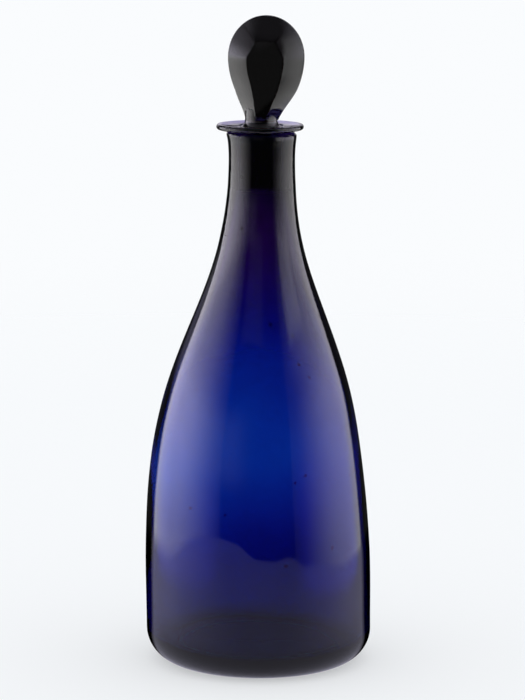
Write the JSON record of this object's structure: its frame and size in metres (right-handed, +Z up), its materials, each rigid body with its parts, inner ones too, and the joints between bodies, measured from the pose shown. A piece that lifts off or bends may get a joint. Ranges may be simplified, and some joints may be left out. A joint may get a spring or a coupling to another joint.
{
  "type": "stoppered decanter",
  "caption": "Tall blown glass decanter, dark blue, with a round belly, sloping shoulder, thick neck and turned-out lip, closed by a loose pear-shaped bevelled glass stopper.",
  "frame": {"origin": "centre of the base, on the table", "axes": "+Z up along the axis of the neck, -Y towards the viewer of the stopper's flat face"},
  "size_m": [0.104, 0.104, 0.2975],
  "materials": {
    "vessel_glass": "blown and fire polished, ground in the neck",
    "stopper_glass": "cut and polished head, ground peg"
  },
  "bodies": {
    "decanter": {"decanter_body": "vessel_glass"},
    "stopper": {"stopper": "stopper_glass"}
  },
  "joints": [
    {"name": "stopper_lift", "type": "slide", "parent": "decanter", "child": "stopper", "axis": [0, 0, 1], "range_m": [0, 0.06]}
  ]
}
